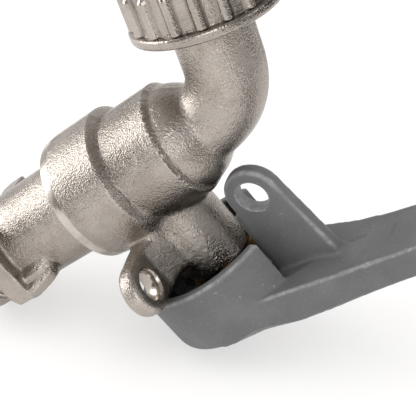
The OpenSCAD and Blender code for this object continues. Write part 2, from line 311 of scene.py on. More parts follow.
def round_rims(form: Form, rims: Sequence[bmesh.types.BMEdge], reach: float, steps: int) -> None:
    """Rounds some edges of a form.

    Args:
        form: the form, which is changed.
        rims: its edges that get round.
        reach: how far the rounding reaches from the edge.
        steps: how many faces make it round.
    """
    bmesh.ops.bevel(form.bm, geom=rims, offset=reach, offset_type="OFFSET", segments=steps, profile=0.5,
                    affect="EDGES", material=-1, clamp_overlap=True)


def slab(outline: Outline, low: float, high: float, matrix: Matrix, bevel: float = 0.0) -> Form:
    """A plate cut to an outline.

    Args:
        outline: points of its face.
        low: height of its lower face.
        high: height of its upper face.
        matrix: where it goes.
        bevel: rounding of its rims.

    Returns:
        A closed form.
    """
    form = Form()
    face = form.bm.faces.new([form.bm.verts.new((x, y, low)) for x, y in outline])
    grown = bmesh.ops.extrude_face_region(form.bm, geom=[face], use_keep_orig=True)
    bmesh.ops.translate(form.bm, vec=(0, 0, high - low), verts=of_kind(grown, bmesh.types.BMVert))
    bmesh.ops.recalc_face_normals(form.bm, faces=form.bm.faces)
    if bevel > 0:
        rims = [edge for edge in form.bm.edges if edge.verts[0].co.z == edge.verts[1].co.z]
        round_rims(form, rims, bevel, 5)
    return form.tidy().place(matrix)


def block(corner: Sequence[float], size: Sequence[float], matrix: Matrix) -> Form:
    """A block.

    Args:
        corner: its lowest corner.
        size: its three sides.
        matrix: where it goes.

    Returns:
        A closed form.
    """
    form = Form()
    bmesh.ops.create_cube(form.bm, size=1.0)
    middle = Vector(corner) + Vector(size) / 2
    return form.place(matrix @ Matrix.Translation(middle) @ Matrix.Diagonal((*size, 1)))


def hose(radius: float, start: float, end: float, bends: int = 24) -> Form:
    """A bent tube's solid along the spout's centre line.

    Args:
        radius: the radius of the section.
        start: where it begins along the pipe axis.
        end: how far it goes on past the bend.
        bends: how many straight steps the bend takes.

    Returns:
        A closed form.
    """
    form = Form()
    made = bmesh.ops.create_circle(form.bm, cap_ends=True, segments=96, radius=radius)
    bmesh.ops.transform(form.bm, matrix=SIZES.lay(Lay.PIPE, start), verts=made["verts"])
    rim = list(form.bm.edges)
    pivot = Matrix.Translation((SIZES.bend_x, 0, -SIZES.bend_r))
    swing = turn_about("Y", (90 - SIZES.lean) / bends)
    along = SIZES.lay(Lay.OUTLET).to_3x3() @ Vector((0, 0, 1))
    moves = [Matrix.Translation((SIZES.bend_x - start, 0, 0))]
    moves += [pivot @ swing @ pivot.inverted()] * bends + [Matrix.Translation(along * end)]
    for move in moves:
        grown = bmesh.ops.extrude_edge_only(form.bm, edges=rim)
        rim = of_kind(grown, bmesh.types.BMEdge)
        bmesh.ops.transform(form.bm, matrix=move, verts=of_kind(grown, bmesh.types.BMVert))
    bmesh.ops.contextual_create(form.bm, geom=rim)
    return form.tidy()


def discard(carrier: bpy.types.Object) -> None:
    """Deletes a helping object with its mesh.

    Args:
        carrier: the object.
    """
    mesh = carrier.data
    bpy.data.objects.remove(carrier)
    bpy.data.meshes.remove(mesh)


def applied(form: Form, kind: str, **settings: object) -> Form:
    """A form after one modifier.

    Args:
        form: the form, which is used up.
        kind: the modifier's type.
        **settings: the modifier's own settings.

    Returns:
        The finished form.
    """
    carrier = form.piece("carrier", 1.0)
    change = carrier.modifiers.new("change", kind)
    for name, value in settings.items():
        setattr(change, name, value)
    bpy.context.view_layer.update()
    seen = carrier.evaluated_get(bpy.context.evaluated_depsgraph_get())
    mesh = bpy.data.meshes.new_from_object(seen)
    made = Form()
    made.bm.from_mesh(mesh)
    discard(carrier)
    bpy.data.meshes.remove(mesh)
    return made


def cut(form: Form, tools: Sequence[Form], how: str = "DIFFERENCE") -> Form:
    """Cuts closed tools out of a closed form.

    Args:
        form: what is cut.
        tools: what cuts it, one after another.
        how: the operation, which may also be INTERSECT.

    Returns:
        The cut form.
    """
    for tool in tools:
        cutter = tool.piece("cutter", 1.0)
        cutter.hide_render = True
        form = applied(form, "BOOLEAN", object=cutter, operation=how, solver="MANIFOLD")
        discard(cutter)
    return form


def eased(bm: bmesh.types.BMesh, verts: List[bmesh.types.BMVert], rounds: int, factor: float = 0.5) -> None:
    """Eases points towards their neighbours.

    Args:
        bm: the mesh that the points are in.
        verts: the points.
        rounds: how many times.
        factor: how far they go each time, from 0 to 1.
    """
    for _ in range(rounds):
        bmesh.ops.smooth_vert(bm, verts=verts, factor=factor, use_axis_x=True, use_axis_y=True,
                               use_axis_z=True)


def skinned(shells: Sequence[Form], voxel: float, softening: int,
            softer: Sequence[Tuple[int, Callable[[Vector], float]]] = ()) -> Form:
    """One cast skin over overlapping shells, with its corners softened.

    Args:
        shells: closed forms that overlap.
        voxel: the size of the skin's faces.
        softening: how often every point is eased towards its neighbours.
        softer: pairs of how often more, and how far inside the zone a point is, from 0 to 1.

    Returns:
        The cast form.
    """
    whole = Form()
    for shell in shells:
        whole.add(shell)
    cast = applied(whole, "REMESH", mode="VOXEL", voxel_size=voxel, adaptivity=0.0)
    eased(cast.bm, cast.bm.verts, softening)
    for rounds, depth in softer:
        inside = [(vert, depth(vert.co)) for vert in cast.bm.verts]
        stages = 4
        for stage in range(stages):
            some = [vert for vert, share in inside if share > stage / stages]
            eased(cast.bm, some, max(1, rounds // stages))
    return cast


def ramp(value: float, full: float, none: float) -> float:
    """How far a value has come from none, where it counts 0, to full, where it counts 1."""
    return min(1.0, max(0.0, (value - none) / (full - none)))


def column(items: bpy.types.bpy_prop_collection, name: str, width: int, kind: type = float) -> np.ndarray:
    """One value of many mesh items.

    Args:
        items: the items.
        name: the value's name.
        width: how many numbers one item has.
        kind: what the numbers are.

    Returns:
        A table with a row for each item.
    """
    values = np.empty(len(items) * width, kind)
    items.foreach_get(name, values)
    return values.reshape(-1, width)


def note_edges(piece: bpy.types.Object, reach: int, gain: float) -> None:
    """Writes how far each point stands out of its surroundings, for worn edges and for the painted shade in
    corners.

    Args:
        piece: the object whose mesh gets the attribute "stand", 0.5 where it is flat.
        reach: how often the value is spread to neighbours.
        gain: how strongly the value is written.
    """
    mesh = piece.data
    spots = column(mesh.vertices, "co", 3) * METRE
    normals = column(mesh.vertex_normals, "vector", 3)
    pairs = column(mesh.edges, "vertices", 2, int)
    degree = np.bincount(pairs.ravel(), minlength=len(spots)).clip(1)

    def spread(values: np.ndarray) -> np.ndarray:
        """Mean of each point's neighbours.

        Args:
            values: a value for each point.

        Returns:
            The mean for each point.
        """
        total = np.zeros_like(values)
        np.add.at(total, pairs[:, 0], values[pairs[:, 1]])
        np.add.at(total, pairs[:, 1], values[pairs[:, 0]])
        return total / degree.reshape((-1,) + (1,) * (values.ndim - 1))

    gap = spread(spots) - spots
    stand = -(gap * normals).sum(1)
    for _ in range(reach):
        stand = (stand + spread(stand)) / 2
    layer = mesh.attributes.new("stand", "FLOAT", "POINT")
    layer.data.foreach_set("value", np.clip(0.5 + gain * stand, 0, 1).astype(np.float32))


# Finishes


class Wire:
    """One output of a shader node, which takes part in sums."""

    def __init__(self, net: "Net", socket: bpy.types.NodeSocket) -> None:
        """Keeps the socket and the net it is in."""
        self.net = net
        self.socket = socket

    def sum(self, operation: str, *others: Union["Wire", float], clamp: bool = False) -> "Wire":
        """Adds a Math node that starts from this value, and keeps its result from 0 to 1 if asked."""
        return self.net.node("ShaderNodeMath", {"operation": operation, "use_clamp": clamp},
                             dict(enumerate((self, *others))))

    def __add__(self, other: Union["Wire", float]) -> "Wire":
        """This plus another value."""
        return self.sum("ADD", other)

    __radd__ = __add__

    def __mul__(self, other: Union["Wire", float]) -> "Wire":
        """This times another value."""
        return self.sum("MULTIPLY", other)

    __rmul__ = __mul__

    def __sub__(self, other: Union["Wire", float]) -> "Wire":
        """This less another value."""
        return self.sum("SUBTRACT", other)

    def __rsub__(self, other: float) -> "Wire":
        """A number less this."""
        return self.net.node("ShaderNodeMath", {"operation": "SUBTRACT"}, {0: other, 1: self})

    def kept(self) -> "Wire":
        """This, kept between 0 and 1."""
        return self.sum("ADD", 0.0, clamp=True)

    def eased(self, low: float, high: float) -> "Wire":
        """This as a smooth step from 0 at low to 1 at high."""
        return self.net.node("ShaderNodeMapRange", {"interpolation_type": "SMOOTHSTEP"},
                             {"Value": self, "From Min": low, "From Max": high, "To Min": 0.0, "To Max": 1.0})


class Net:
    """The nodes of one material or of the world."""

    def __init__(self, tree: bpy.types.NodeTree) -> None:
        """Empties the tree and keeps it."""
        self.tree = tree
        tree.nodes.clear()

    def node(self, kind: str, settings: Optional[Dict[str, object]] = None, inputs: Optional[Inputs] = None,
             output: Union[int, str] = 0) -> Wire:
        """Adds a node of any type.

        Args:
            kind: the node's type.
            settings: its own settings, set first.
            inputs: values or wires by socket name or number.
            output: which output is returned.

        Returns:
            That output as a wire.
        """
        made = self.tree.nodes.new(kind)
        for name, value in (settings or {}).items():
            setattr(made, name, value)
        for name, value in (inputs or {}).items():
            if isinstance(value, Wire):
                self.tree.links.new(value.socket, made.inputs[name])
            elif isinstance(value, tuple) and len(value) == 3 and made.inputs[name].type == "RGBA":
                made.inputs[name].default_value = (*value, 1.0)
            else:
                made.inputs[name].default_value = value
        return Wire(self, made.outputs[output]) if len(made.outputs) else None

    def spots(self) -> Wire:
        """The object's own coordinates, in metres."""
        return self.node("ShaderNodeTexCoord", output="Object")

    def grain(self, size: float, detail: float = 2.0, rough: float = 0.5, warp: float = 0.0) -> Wire:
        """Noise over the surface.

        Args:
            size: about how wide its lumps are, in millimetres.
            detail: how many finer layers it has.
            rough: how strong the finer layers are.
            warp: how far it is bent.

        Returns:
            The noise, from 0 to 1.
        """
        return self.node("ShaderNodeTexNoise", {"noise_dimensions": "3D"},
                         {"Vector": self.spots(), "Scale": METRE / size, "Detail": detail, "Roughness": rough,
                          "Distortion": warp})

    def blend(self, mask: Union[Wire, float], first: Union[Wire, Colour],
              second: Union[Wire, Colour]) -> Wire:
        """Mixes two colours.

        Args:
            mask: 0 where the first counts, 1 where the second does.
            first: one colour.
            second: the other colour.

        Returns:
            The mixed colour.
        """
        return self.node("ShaderNodeMix", {"data_type": "RGBA", "blend_type": "MIX", "clamp_factor": True},
                         {0: mask, 6: first, 7: second}, output=2)

    def relief(self, height: Wire, depth: float) -> Wire:
        """Bump of the given depth in millimetres."""
        return self.node("ShaderNodeBump", {}, {"Height": height, "Strength": 1.0, "Distance": depth * MM})

    def stand(self) -> Wire:
        """The attribute that says where a piece stands out."""
        return self.node("ShaderNodeAttribute", {"attribute_name": "stand", "attribute_type": "GEOMETRY"},
                         output="Fac")

    def axes(self) -> Tuple[Wire, Wire, Wire]:
        """The three object coordinates in millimetres.

        Returns:
            Across, deep and up.
        """
        split = self.node("ShaderNodeVectorMath", {"operation": "SCALE"}, {0: self.spots(), "Scale": METRE})
        made = self.node("ShaderNodeSeparateXYZ", {}, {0: split})
        return tuple(Wire(self, output) for output in made.socket.node.outputs)


def new_material(name: str) -> Tuple[bpy.types.Material, Net]:
    """A new material.

    Args:
        name: its name.

    Returns:
        The material and its empty net.
    """
    made = bpy.data.materials.new(name)
    made.use_nodes = True
    return made, Net(made.node_tree)


@dataclass(frozen=True)
class Finish:
    """A finish: its name and the numbers that are the same all over."""

    name: str
    metallic: float = 0.0
    coat: float = 0.0
    ior: float = 1.45

    def paint(self, net: Net) -> Inputs:
        """The inputs that change over the surface.

        Args:
            net: the nodes of the material.

        Returns:
            Inputs of the surface shader by name.
        """
        raise NotImplementedError

    def material(self) -> bpy.types.Material:
        """Makes the material once and returns it from then on.

        Returns:
            The material, which is the same one each time.
        """
        if self.name in bpy.data.materials:
            return bpy.data.materials[self.name]
        made, net = new_material(self.name)
        surface = net.node("ShaderNodeBsdfPrincipled", {}, {
            "Metallic": self.metallic, "Coat Weight": self.coat, "IOR": self.ior, **self.paint(net)})
        net.node("ShaderNodeOutputMaterial", {}, {"Surface": surface})
        return made

    def on(self, piece: bpy.types.Object) -> None:
        """Gives the finish to every slot of a piece.

        Args:
            piece: the piece or node.
        """
        if not piece.material_slots:
            piece.data.materials.append(self.material())
        for spot in piece.material_slots:
            spot.material = self.material()


@dataclass(frozen=True)
class BlastedNickel(Finish):
    """Nickel plate over a blasted casting: a pebbled skin with brighter edges."""

    light: Colour = (0.52, 0.475, 0.43)
    dark: Colour = (0.33, 0.295, 0.26)
    pebble: float = 0.30
    depth: float = 0.19
    gloss: float = 0.19

    def paint(self, net: Net) -> Inputs:
        """Pebbles, cloudy patches, brighter edges, and duller corners that are darkened as painted shade.

        Args:
            net: the nodes of the material.

        Returns:
            Inputs of the surface shader by name.
        """
        pebbles = net.grain(self.pebble, 1.5, 0.45)
        coarse = net.grain(self.pebble * 2.5, 2.0, 0.5)
        cloud = net.grain(9.0, 3.0, 0.6)
        stand = net.stand()
        edge = stand.eased(0.53, 0.70)
        # painted shade: where the skin sinks below its surroundings (corners, grooves, roots of neck and
        # spout) the colour is darkened and the gloss dulled
        corner = 1.0 - stand.eased(0.28, 0.48)
        tone = cloud.eased(0.35, 0.65) * 0.55 + pebbles.eased(0.35, 0.7) * 0.35 + edge * 0.25 - corner * 0.3
        colour = net.blend(tone.kept(), self.dark, self.light)
        rough = (self.gloss + 0.10 * cloud.eased(0.3, 0.7) + 0.16 * corner - 0.05 * edge).kept()
        _, deep, up = net.axes()
        deep = deep - SIZES.eye_reach
        up = up - SIZES.eye_z
        bored = (deep * deep + up * up).sum("SQRT").eased(SIZES.eye_r + 0.05, SIZES.eye_r + 0.35)
        height = (pebbles * 0.8 + coarse * 0.6) * bored
        return {"Base Color": colour, "Roughness": rough, "Normal": net.relief(height, self.depth)}


@dataclass(frozen=True)
class TurnedMetal(Finish):
    """A machined metal face with fine lathe marks round one axis."""

    light: Colour = (0.62, 0.575, 0.525)
    dark: Colour = (0.45, 0.415, 0.37)
    gloss: float = 0.16
    pitch: float = 0.16
    depth: float = 0.004

    def paint(self, net: Net) -> Inputs:
        """Lathe marks along the pipe, and faint stains.

        Args:
            net: the nodes of the material.

        Returns:
            Inputs of the surface shader by name.
        """
        along, _, up = net.axes()
        marks = (along * (1 / self.pitch) + up * (0.35 / self.pitch) + net.grain(3.0) * 3.0).sum("SINE")
        stain = net.grain(4.0, 4.0, 0.65)
        speck = net.grain(0.5, 2.0, 0.6)
        colour = net.blend(stain.eased(0.35, 0.7), self.light, self.dark)
        rough = (self.gloss + 0.12 * stain.eased(0.4, 0.7) + 0.05 * speck).kept()
        height = marks * 0.5 + speck * 1.2
        return {"Base Color": colour, "Roughness": rough, "Normal": net.relief(height, self.depth)}


@dataclass(frozen=True)
class PowderCoat(Finish):
    """Grey powder coat with orange peel, worn lighter on its edges."""

    body: Colour = (0.140, 0.141, 0.144)
    worn: Colour = (0.36, 0.36, 0.365)
    shade: Colour = (0.112, 0.113, 0.116)
    # near black colour painted inside the cup as shade
    painted_cup_shade: Colour = (0.012, 0.011, 0.010)
    gloss: float = 0.46

    def paint(self, net: Net) -> Inputs:
        """Fine peel, a few specks and scuffs, and painted shade that turns the inside of the cup near black.

        Args:
            net: the nodes of the material.

        Returns:
            Inputs of the surface shader by name.
        """
        peel = net.grain(0.75, 1.5, 0.4)
        fine = net.grain(0.3, 1.0, 0.5)
        cloud = net.grain(14.0, 3.0, 0.55)
        scuff = net.grain(1.6, 4.0, 0.7, 0.6)
        stand = net.stand()
        edge = stand.eased(0.58, 0.75) * (0.35 + scuff.eased(0.35, 0.7) * 0.65)
        speck = net.grain(0.9, 0.0, 0.5).eased(0.80, 0.84)
        # painted shade: a mask of the space inside the cup wall and under its roof, sparing the eye plate's
        # leaf
        across, deep, up = net.axes()
        aside = across - SIZES.stem_x
        turn = math.radians(SIZES.rest_turn)
        leaf = (deep * math.cos(turn) - aside * math.sin(turn)).sum("ABSOLUTE").eased(1.8, 2.4)
        reach = (aside * aside + deep * deep).sum("SQRT")
        inside = (1.0 - reach.eased(15.6, 16.1)) * (1.0 - up.eased(33.0, 33.5)) * leaf
        base = net.blend(cloud.eased(0.35, 0.65), self.shade, self.body)
        base = net.blend(fine.eased(0.5, 0.8) * 0.16, base, self.worn)
        base = net.blend((edge * 0.8 + speck * 0.3).kept(), base, self.worn)
        base = net.blend(inside * 0.85, base, self.painted_cup_shade)
        rough = (self.gloss + 0.12 * fine - 0.10 * edge).kept()
        return {"Base Color": base, "Roughness": rough, "Normal": net.relief(peel * 0.8 + fine * 0.8, 0.085)}


@dataclass(frozen=True)
class Clouded(Finish):
    """Two tones in soft clouds under a fine grain: plated steel, bare brass, plastic or rubber."""

    light: Colour = (0.66, 0.66, 0.65)
    dark: Colour = (0.44, 0.45, 0.47)
    gloss: float = 0.2
    cloud: Tuple[float, float, float] = (4.0, 4.0, 0.6)
    tones: Tuple[float, float] = (0.35, 0.7)
    fine: float = 0.3
    cloud_dull: float = 0.15
    fine_dull: float = 0.0
    cloud_rise: float = 0.0
    depth: float = 0.006

    def paint(self, net: Net) -> Inputs:
        """Clouds in the tone and the gloss, and small scratches or grain.

        Args:
            net: the nodes of the material.

        Returns:
            Inputs of the surface shader by name.
        """
        cloud = net.grain(*self.cloud)
        fine = net.grain(self.fine, 2.0, 0.5)
        colour = net.blend(cloud.eased(*self.tones), self.light, self.dark)
        rough = (self.gloss + self.cloud_dull * cloud.eased(0.4, 0.7) + self.fine_dull * fine).kept()
        return {"Base Color": colour, "Roughness": rough,
                "Normal": net.relief(fine + cloud * self.cloud_rise, self.depth)}


def brass(name: str, light: Colour, dark: Colour, gloss: float) -> Clouded:
    """Bare brass with clouds of tarnish."""
    return Clouded(name, 1.0, light=light, dark=dark, gloss=gloss, cloud=(3.5, 4.0, 0.6), tones=(0.4, 0.75),
                   fine=0.35, cloud_dull=0.22, fine_dull=0.06, cloud_rise=0.5, depth=0.012)


def seal(name: str, light: Colour, dark: Colour, gloss: float) -> Clouded:
    """A seal of plastic or rubber with a fine matt grain."""
    return Clouded(name, light=light, dark=dark, gloss=gloss, cloud=(2.5, 3.0, 0.55), tones=(0.3, 0.7),
                   fine=0.22, cloud_dull=0.0, fine_dull=0.15, depth=0.01)


CAST_NICKEL = BlastedNickel("blasted_nickel", 1.0)
NUT_NICKEL = BlastedNickel("nut_nickel", 1.0, light=(0.50, 0.46, 0.42), pebble=0.32, depth=0.12, gloss=0.17)
RING_NICKEL = TurnedMetal("turned_nickel", 1.0)
PLATED_NICKEL = Clouded("plated_thread", 1.0, light=(0.66, 0.61, 0.56), dark=(0.45, 0.41, 0.37), gloss=0.22)
HANDLE_COAT = PowderCoat("grey_powder_coat", coat=0.08)
# brass tones set low, partly as painted shade for the stem and follower inside the dark cup
BRASS = brass("bare_brass", (0.45, 0.31, 0.13), (0.12, 0.07, 0.03), 0.24)
# a darker copy of the brass, painted shade for the gland nut deep inside the cup
SHADED_BRASS = brass("shaded_brass", (0.26, 0.17, 0.07), (0.05, 0.03, 0.015), 0.3)
CHROME = Clouded("chrome_ball", 1.0, light=(0.72, 0.73, 0.74), dark=(0.6, 0.61, 0.63), gloss=0.07,
                 depth=0.002)
STEEL = Clouded("zinc_steel", 1.0, light=(0.62, 0.63, 0.64), dark=(0.42, 0.43, 0.45), gloss=0.26)
PTFE = seal("white_seal", (0.82, 0.81, 0.78), (0.70, 0.69, 0.66), 0.45)
RUBBER = seal("black_rubber", (0.030, 0.030, 0.031), (0.018, 0.018, 0.019), 0.55)


def dressed(form: Form, name: str, finish: Finish, places: Tuple[str, str, str],
            worn: Optional[Tuple[int, float]] = None) -> bpy.types.Object:
    """Makes a form a finished piece that stands for a node.

    Args:
        form: the form, which is used up.
        name: the piece's name.
        finish: its finish.
        places: the body it rides on, the node it replaces, and a slot name that is not used.
        worn: reach and gain of the attribute for worn edges and for the painted shade in corners, where the
            finish reads it.

    Returns:
        The piece.
    """
    body, node, slot = places
    piece = form.piece(name)
    if worn:
        note_edges(piece, *worn)
    finish.on(piece)
    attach(piece, body)
    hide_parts(node)
    return piece


# Pieces of the tap


@dataclass
class BodyCasting:
    """The cast body: barrels, rounded end, spout, neck and lock lug."""

    sizes: TapSizes = SIZES
    voxel: float = 0.36
    lug_x: float = 28.5
    lug_t: float = 4.0
    lug_r: float = 5.6
    lug_round: float = 1.2
    lug_foot: float = 3.0
    gusset_top: float = 24.2
    gusset_end: float = 15.5
    slope_wide: float = 7.6
    slope_end: float = 13.4
    stop_foot: Tuple[float, float, float] = (-12.5, -2.1, 23.1)
    stop_size: Tuple[float, float, float] = (6.5, 4.2, 3.0)
    chamber: Corners = ((25.0, 11.6), (31.4, 9.95), (42.4, 9.25))
    chamber_end: float = 47.6
    packing: Corners = ((7.95, 5.5), (12.0, 4.08), (15.0, 6.0))
    seam_high: float = 0.14
    seam_wide: float = 0.55

    def section(self) -> Outline:
        """The outer section of the barrels and the rounded end, as (along, radius).

        Returns:
            Points of (along, radius).
        """
        size = self.sizes
        first = math.asin((size.barrel2_end - size.dome_x) / size.dome_r)
        angles = [first + (math.pi / 2 - first) * step / 12 for step in range(13)]
        arc = [(size.dome_x + size.dome_r * math.sin(angle), max(size.dome_r * math.cos(angle), 0.0))
               for angle in angles]
        return [(size.joint_x - 1.5, size.barrel_r), (size.barrel_end, size.barrel_r),
                (size.barrel2_start, size.barrel2_r), (size.barrel2_end - 0.7, size.barrel2_r)] + arc

    def barrels(self) -> Form:
        """The two barrels with the rounded end, turned about the pipe."""
        return turned([(self.sizes.joint_x - 1.5, 0.0)] + self.section(), self.sizes.lay(Lay.PIPE), 160)

    def settle(self, form: Form) -> None:
        """Brings the barrels' skin back to its turned section, so that its rims are crisp.

        Args:
            form: the cast skin, which is changed.
        """
        places, radii = zip(*self.section())
        for vert in form.bm.verts:
            spot = vert.co
            reach = math.hypot(spot.y, spot.z)
            if not self.sizes.joint_x < spot.x < 53.5 or reach < 8:
                continue
            free = ramp(spot.x, 51.0, 53.0)
            if spot.z > 4:
                free *= ramp(math.hypot(spot.x - self.sizes.stem_x, spot.y), 15.0, 12.5)
                if spot.y > 0:
                    free *= ramp(abs(spot.x - self.lug_x - self.lug_t / 2), 7.0, 4.5)
            for rim in places[1:5]:
                if abs(spot.x - rim) < self.voxel * 0.5:
                    spot.x += (rim - spot.x) * free
            true = float(np.interp(spot.x, places, radii))
            if abs(reach - true) < 0.8:
                grown = 1 + (true / reach - 1) * free
                spot.y *= grown
                spot.z *= grown

    def spout(self) -> List[Form]:
        """The curved spout and the collar that its thread starts from.

        Returns:
            Closed forms that overlap.
        """
        size = self.sizes
        collar = [(size.nut_start - 0.5, 0.0), (size.nut_start - 0.5, size.spout_r),
                  (size.nut_start + 0.7, size.outlet_r - 1), (size.nut_start + 1.7, size.outlet_r),
                  (size.outlet_face, size.outlet_r), (size.outlet_face, 0.0)]
        return [hose(size.spout_r, 44.0, size.outlet_face - 1), turned(collar, size.lay(Lay.OUTLET))]

    def neck(self) -> List[Form]:
        """The stem neck with its travel stop.

        Returns:
            Closed forms that overlap.
        """
        size = self.sizes
        stem = size.lay(Lay.STEM)
        return [rod(size.neck_r, 2.0, size.neck_top, stem), block(self.stop_foot, self.stop_size, stem)]

    def eye(self) -> Matrix:
        """Lays a shape on the axis of the lug's eye."""
        return Matrix.Translation((0, self.sizes.eye_reach, self.sizes.eye_z)) @ turn_about("Y")

    def lug(self) -> List[Form]:
        """The lug that takes one leg of the padlock, with its gusset and the slope down to the neck.

        Returns:
            Closed forms that overlap.
        """
        eye_y, eye_z = self.sizes.eye_reach, self.sizes.eye_z
        disc = [(self.lug_x, 0.0), (self.lug_x, self.lug_r, self.lug_round),
                (self.lug_x + self.lug_t, self.lug_r, self.lug_round), (self.lug_x + self.lug_t, 0.0)]
        web = block((self.lug_x, self.lug_foot, eye_z - self.lug_r),
                    (self.lug_t, eye_y - self.lug_foot, 2 * self.lug_r), Matrix.Identity(4))
        rims = [edge for edge in web.bm.edges if abs(edge.verts[0].co.y - edge.verts[1].co.y) > 1]
        round_rims(web, rims, self.lug_round, 4)
        plan = [(self.lug_foot, eye_z), (self.lug_foot, self.gusset_top),
                (2 * self.lug_foot, self.gusset_top), (self.gusset_end, eye_z + self.lug_r - 0.1),
                (self.gusset_end, eye_z)]
        upright = Matrix(((0, 0, 1, self.lug_x), (1, 0, 0, 0), (0, 1, 0, 0), (0, 0, 0, 1)))
        gusset = slab(plan, 0.0, self.lug_t, upright, 1.0)
        face = self.lug_x + self.lug_t - 0.4
        wedge = [(face, self.lug_foot), (face + self.slope_wide, self.lug_foot), (face, self.slope_end)]
        slope = slab(wedge, eye_z - self.lug_r + 0.4, eye_z + self.lug_r - 0.2, Matrix.Identity(4), 0.5)
        return [turned(rounded(disc), self.eye()), web, gusset, slope]

    def hollows(self) -> List[Form]:
        """What is bored out: the joint, the ball chamber, the ways and the stem's holes.

        Returns:
            Closed forms to cut with.
        """
        size = self.sizes
        pipe, stem = size.lay(Lay.PIPE), size.lay(Lay.STEM)
        chamber = stepped(self.chamber, self.chamber_end)
        packing = stepped(self.packing, size.neck_top + 3.5)
        ends = (self.lug_x - 1, self.lug_x + self.lug_t + 1)
        mouth = [(ends[0], 0.0), (ends[0], size.eye_r + 1.2), (ends[0] + 1.25, size.eye_r),
                 (ends[1] - 1.25, size.eye_r), (ends[1], size.eye_r + 1.2), (ends[1], 0.0)]
        return [rod(20.0, 20.0, size.joint_x, pipe), turned(chamber, pipe), turned(packing, stem),
                hose(size.way_r, 47.0, 20.0), turned(mouth, self.eye(), 64),
                rod(12.0, size.neck_top, size.neck_top + 4, stem)]

    def at_neck(self, spot: Vector) -> float:
        """Zone where the neck grows out of the barrels.

        Args:
            spot: a point of the skin.

        Returns:
            How deep it is in the zone, from 0 to 1.
        """
        if spot.z < 5:
            return 0.0
        around = math.hypot(spot.x - self.sizes.stem_x, spot.y)
        return min(ramp(around, 9.5, 13.5), ramp(spot.z, 14.5, 18.5))

    def at_spout(self, spot: Vector) -> float:
        """Zone where the spout grows out of the rounded end.

        Args:
            spot: a point of the skin.

        Returns:
            How deep it is in the zone, from 0 to 1.
        """
        around = math.hypot(spot.y, spot.z)
        return min(ramp(spot.x, 54.5, 52.0), ramp(spot.x, 59.5, 62.5), ramp(around, 9.5, 12.5))

    def at_lug(self, spot: Vector) -> float:
        """Zone where the lug meets the neck and the barrel.

        Args:
            spot: a point of the skin.

        Returns:
            How deep it is in the zone, from 0 to 1.
        """
        if not 25.9 < spot.x < 38.0 or not 7 < spot.z < 25:
            return 0.0
        return min(ramp(spot.y, 9.0, 13.0), ramp(spot.y, 4.0, 2.0))

    def build(self) -> bpy.types.Object:
        """Casts the body, bores it and finishes it.

        Returns:
            The finished piece.
        """
        shells = [self.barrels()] + self.spout() + self.neck() + self.lug()
        form = skinned(shells, self.voxel, 7, [(44, self.at_neck), (20, self.at_lug), (20, self.at_spout)])
        self.settle(form)
        self.seam(form)
        form = cut(form, self.hollows())
        places = ("tap_body", "body_casting", "nickel_casting")
        return dressed(form, "body_skin", CAST_NICKEL, places, (5, 9.0))

    def seam(self, form: Form) -> None:
        """Raises the line where the two halves of the mould met.

        Args:
            form: the cast skin, which is changed.
        """
        form.bm.normal_update()
        for vert in form.bm.verts:
            side = abs(vert.co.y)
            if side < 1.4 and (vert.co.z < 2 or vert.co.x > 48) and vert.co.x > self.sizes.joint_x:
                vert.co += vert.normal * self.seam_high * math.exp(-(side / self.seam_wide) ** 2)


